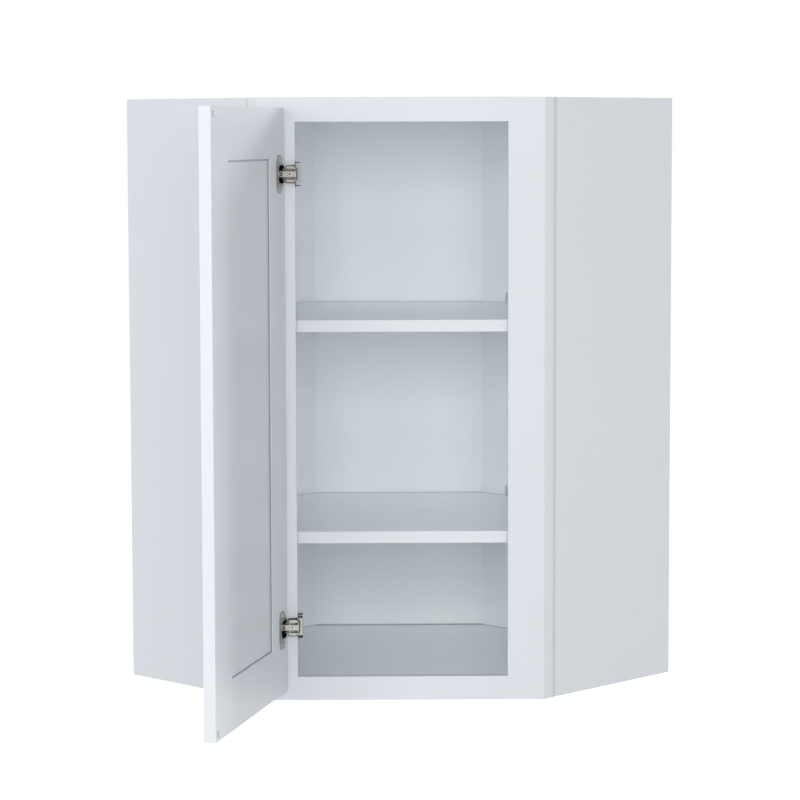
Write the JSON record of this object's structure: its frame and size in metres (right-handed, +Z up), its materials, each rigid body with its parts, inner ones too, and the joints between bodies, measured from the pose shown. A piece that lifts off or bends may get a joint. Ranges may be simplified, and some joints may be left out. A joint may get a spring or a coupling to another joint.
{
  "type": "diagonal corner wall cabinet",
  "caption": "Diagonal corner wall cabinet with a face frame, adjustable full-depth shelves and a framed door that swings on concealed hinges.",
  "frame": {"origin": "middle of the face frame's lower edge, on the frame's front plane", "axes": "+Z up, -Y out of the front into the room, +Y towards the corner where the two walls meet, +X to the right as one faces the cabinet"},
  "size_m": [0.8566, 0.8719, 0.9144],
  "materials": {
    "painted_frame": "satin white paint on solid wood",
    "painted_door": "satin white paint",
    "painted_side": "satin white finish on panel board",
    "white_laminate": "matt white laminate on panel board",
    "dowel_wood": "plain beech",
    "edge_band": "white edge banding",
    "clear_plastic": "translucent moulded plastic",
    "soft_pad": "translucent soft pad",
    "nickel_steel": "nickel-plated pressed steel"
  },
  "bodies": {
    "cabinet": {"left_stile": "painted_frame", "right_stile": "painted_frame", "top_rail": "painted_frame", "bottom_rail": "painted_frame", "frame_dowels": "dowel_wood", "left_side_panel": "painted_side", "right_side_panel": "painted_side", "left_back_panel": "white_laminate", "right_back_panel": "white_laminate", "centre_back_panel": "white_laminate", "top_panel": "white_laminate", "bottom_panel": "white_laminate", "upper_shelf": "white_laminate", "lower_shelf": "white_laminate", "upper_shelf_edge_band": "edge_band", "lower_shelf_edge_band": "edge_band", "upper_shelf_clips": "clear_plastic", "lower_shelf_clips": "clear_plastic", "upper_hinge_arm": "nickel_steel", "upper_adjusting_block": "nickel_steel", "upper_adjusting_screw": "nickel_steel", "upper_frame_plate": "nickel_steel", "upper_frame_screw": "nickel_steel", "lower_hinge_arm": "nickel_steel", "lower_adjusting_block": "nickel_steel", "lower_adjusting_screw": "nickel_steel", "lower_frame_plate": "nickel_steel", "lower_frame_screw": "nickel_steel"},
    "door": {"door_hinge_stile": "painted_door", "door_latch_stile": "painted_door", "door_top_rail": "painted_door", "door_bottom_rail": "painted_door", "door_panel": "painted_door", "door_bumpers": "soft_pad", "upper_hinge_cup": "nickel_steel", "upper_cup_screws": "nickel_steel", "upper_pivot_pin": "nickel_steel", "upper_closing_spring": "nickel_steel", "lower_hinge_cup": "nickel_steel", "lower_cup_screws": "nickel_steel", "lower_pivot_pin": "nickel_steel", "lower_closing_spring": "nickel_steel"}
  },
  "joints": [
    {"name": "door_hinge", "type": "hinge", "parent": "cabinet", "child": "door", "pos_m": [-0.184, -0.0102, 0.4572], "axis": [0, 0, 1], "range_deg": [0, 103.5]}
  ]
}
